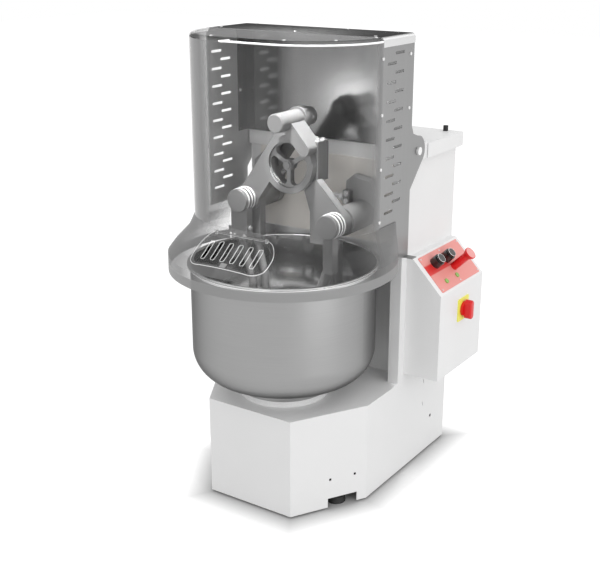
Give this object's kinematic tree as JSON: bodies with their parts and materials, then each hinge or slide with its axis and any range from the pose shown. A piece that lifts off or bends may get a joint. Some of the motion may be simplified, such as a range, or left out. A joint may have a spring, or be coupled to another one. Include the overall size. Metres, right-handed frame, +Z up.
{
  "type": "double-arm dough mixer",
  "caption": "Bakery kneading machine with paired cranked arms over a turning bowl, a hinged clear guard, a side control box and a floor-standing base.",
  "frame": {"origin": "on the floor, at the middle of the machine's footprint box", "axes": "+Z up, -Y towards the front where the bowl is, +X towards the control box"},
  "size_m": [0.7789, 0.9337, 1.4095],
  "materials": {
    "white_paint": "smooth white powder coat",
    "stainless": "brushed stainless sheet",
    "bowl_steel": "polished stainless bowl",
    "chrome": "chromed ring",
    "screw_steel": "zinc-plated steel",
    "arm_steel": "machined and satin polished",
    "crank_iron": "dark cast iron",
    "frame_steel": "grey primer",
    "clear_sheet": "clear polycarbonate sheet",
    "black_rubber": "black rubber",
    "black_plastic": "black moulded plastic",
    "red_plastic": "red moulded plastic",
    "panel_red": "printed red front film",
    "yellow_plate": "yellow plate",
    "green_lens": "green lens"
  },
  "bodies": {
    "machine": {"base_casing": "white_paint", "bowl_bearing": "crank_iron", "bowl_belt": "black_rubber", "button_bezels": "black_plastic", "cable_gland": "black_plastic", "case_screws": "screw_steel", "chassis": "frame_steel", "column_casing": "white_paint", "column_lid": "white_paint", "contactors": "black_plastic", "control_box": "white_paint", "control_panel": "panel_red", "crank_bearings": "crank_iron", "crank_belt": "black_rubber", "deck_ring": "chrome", "feet": "black_rubber", "foot_studs": "screw_steel", "front_panel": "stainless", "gear_reducer": "frame_steel", "guard_hinge_bolts": "screw_steel", "head_plate": "white_paint", "hinge_beam": "white_paint", "lid_bumpers": "black_rubber", "motor": "frame_steel", "rear_cover": "white_paint", "signal_lamps": "green_lens", "switch_plate": "yellow_plate"},
    "bowl": {"bowl": "bowl_steel", "bowl_collar": "stainless", "bowl_shaft": "crank_iron"},
    "bowl_drive": {"bowl_drive_shaft": "crank_iron"},
    "output": {"drive_pulley": "crank_iron"},
    "left_crank": {"left_crank": "crank_iron", "left_crank_pulley": "crank_iron"},
    "right_crank": {"right_crank": "crank_iron", "right_crank_pulley": "crank_iron"},
    "left_arm": {"left_arm": "arm_steel", "left_elbow_cap": "arm_steel", "left_tool": "arm_steel", "left_tool_bolts": "screw_steel", "apex_shaft": "screw_steel"},
    "right_arm": {"right_arm": "arm_steel", "right_elbow_cap": "arm_steel", "right_tool": "arm_steel", "ring_spider": "arm_steel"},
    "guard": {"guard_side_left": "stainless", "guard_side_right": "stainless", "guard_back": "stainless", "guard_top": "stainless", "screen": "clear_sheet", "screen_top": "clear_sheet", "skirt": "clear_sheet", "flap_hinge": "stainless", "guard_screws": "screw_steel"},
    "flap": {"feed_flap": "clear_sheet", "flap_clasp": "stainless"},
    "start_button": {"start_button": "black_plastic"},
    "stop_button": {"stop_button": "black_plastic"},
    "emergency_stop": {"emergency_stop": "red_plastic"},
    "switch_handle": {"switch_handle": "red_plastic"}
  },
  "joints": [
    {"name": "crank_turn", "type": "hinge", "parent": "machine", "child": "right_crank", "pos_m": [0.1135, 0.093, 0.915], "axis": [0, 1, 0], "continuous": true},
    {"name": "left_crank_turn", "type": "hinge", "parent": "machine", "child": "left_crank", "pos_m": [-0.2315, 0.093, 0.941], "axis": [0, 1, 0], "continuous": true},
    {"name": "right_arm_pivot", "type": "hinge", "parent": "right_crank", "child": "right_arm", "pos_m": [0.1135, -0.023, 0.87], "axis": [0, 1, 0], "continuous": true},
    {"name": "left_arm_pivot", "type": "hinge", "parent": "left_crank", "child": "left_arm", "pos_m": [-0.2315, -0.023, 0.896], "axis": [0, 1, 0], "continuous": true},
    {"name": "output_turn", "type": "hinge", "parent": "machine", "child": "output", "pos_m": [-0.0455, 0.187, 0.7], "axis": [0, 1, 0], "continuous": true},
    {"name": "bowl_drive_turn", "type": "hinge", "parent": "machine", "child": "bowl_drive", "pos_m": [-0.0455, 0.289, 0.4], "axis": [0, 0, 1], "continuous": true},
    {"name": "bowl_turn", "type": "hinge", "parent": "machine", "child": "bowl", "pos_m": [-0.0455, -0.123, 0.321], "axis": [0, 0, 1], "continuous": true},
    {"name": "guard_hinge", "type": "hinge", "parent": "machine", "child": "guard", "pos_m": [-0.0455, 0.143, 1.064], "axis": [-1, 0, 0], "range_deg": [0, 92]},
    {"name": "feed_flap_hinge", "type": "hinge", "parent": "guard", "child": "flap", "pos_m": [-0.0455, -0.32952, 0.86611], "axis": [-1, 0, 0], "range_deg": [0, 80]},
    {"name": "start_button_push", "type": "slide", "parent": "machine", "child": "start_button", "axis": [-0.7208, 0, -0.6931], "range_m": [0, 0.004], "stiffness_N_per_m": 800, "springref_m": -0.002},
    {"name": "stop_button_push", "type": "slide", "parent": "machine", "child": "stop_button", "axis": [-0.7208, 0, -0.6931], "range_m": [0, 0.004], "stiffness_N_per_m": 800, "springref_m": -0.002},
    {"name": "emergency_stop_push", "type": "slide", "parent": "machine", "child": "emergency_stop", "axis": [-0.7208, 0, -0.6931], "range_m": [0, 0.006], "stiffness_N_per_m": 1500, "springref_m": -0.003},
    {"name": "switch_turn", "type": "hinge", "parent": "machine", "child": "switch_handle", "pos_m": [0.3545, 0.295, 0.545], "axis": [1, 0, 0], "range_deg": [0, 90]}
  ],
  "couplings": [
    {"joint": "left_crank_turn", "follows": "crank_turn", "ratio": 1},
    {"joint": "right_arm_pivot", "follows": "crank_turn", "ratio": -1},
    {"joint": "left_arm_pivot", "follows": "crank_turn", "ratio": -1},
    {"joint": "output_turn", "follows": "crank_turn", "ratio": 1},
    {"joint": "bowl_drive_turn", "follows": "crank_turn", "ratio": 1},
    {"joint": "bowl_turn", "follows": "crank_turn", "ratio": 0.24242}
  ]
}
